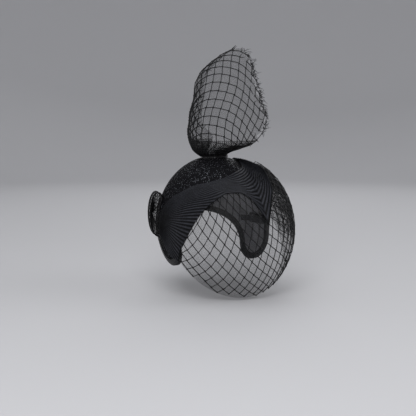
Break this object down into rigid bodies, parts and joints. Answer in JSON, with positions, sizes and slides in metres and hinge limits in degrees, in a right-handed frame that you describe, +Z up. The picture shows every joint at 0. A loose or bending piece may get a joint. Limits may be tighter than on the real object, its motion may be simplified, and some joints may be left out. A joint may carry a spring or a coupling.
{
  "type": "fascinator headpiece",
  "caption": "Half-hat fascinator: close cap, flared horsehair band, diamond-net face veil, net plume, side rosette and loop, with two sprung hair clips.",
  "frame": {"origin": "crown point of the lining, where the cap rests on top of the head", "axes": "+Z up out of the head, -Y the way the wearer looks, -X the wearer's right"},
  "size_m": [0.17, 0.2275, 0.3221],
  "materials": {
    "sparkle_knit": "black pebbled knit with fine metallic glints",
    "buckram": "black starched open weave",
    "lining_cloth": "smooth black lining cloth",
    "millinery_wire": "cotton covered steel wire",
    "edge_tape": "black bias tape",
    "petersham_ribbon": "black ribbed ribbon",
    "horsehair_braid": "charcoal stiff braid with fine ribs",
    "diamond_net": "black diamond mesh veiling",
    "fine_tulle": "sheer black tulle",
    "sewing_thread": "black thread",
    "pleated_crinoline": "black pleated crinoline",
    "loop_net": "black sheer net, doubled",
    "clip_metal": "nickel plated sheet steel",
    "pin_metal": "bright steel",
    "spring_steel": "spring wire"
  },
  "bodies": {
    "headpiece": {"cap_cover": "sparkle_knit", "cap_shell": "buckram", "cap_lining": "lining_cloth", "rim_wire": "millinery_wire", "rim_binding": "edge_tape", "head_ribbon": "petersham_ribbon", "horsehair_band": "horsehair_braid", "veil_net": "diamond_net", "veil_tulle": "fine_tulle", "plume_net": "diamond_net", "plume_tulle": "fine_tulle", "neck_wrap": "sewing_thread", "side_rosette": "pleated_crinoline", "rosette_knot": "pleated_crinoline", "side_loop": "loop_net", "band_stitches": "sewing_thread", "veil_stitches": "sewing_thread", "right_clip_base": "clip_metal", "right_clip_pin": "pin_metal", "right_clip_spring": "spring_steel", "right_clip_stitches": "sewing_thread", "left_clip_base": "clip_metal", "left_clip_pin": "pin_metal", "left_clip_spring": "spring_steel", "left_clip_stitches": "sewing_thread"},
    "right_jaw": {"right_clip_jaw": "clip_metal"},
    "left_jaw": {"left_clip_jaw": "clip_metal"}
  },
  "joints": [
    {"name": "right_clip_hinge", "type": "hinge", "parent": "headpiece", "child": "right_jaw", "pos_m": [-0.0658, 0.008, -0.086], "axis": [0, 0, 1], "range_deg": [0, 28], "stiffness_Nm_per_rad": 0.02, "springref_deg": -28.65},
    {"name": "left_clip_hinge", "type": "hinge", "parent": "headpiece", "child": "left_jaw", "pos_m": [0.0658, 0.008, -0.086], "axis": [0, 0, -1], "range_deg": [0, 28], "stiffness_Nm_per_rad": 0.02, "springref_deg": -28.65}
  ]
}
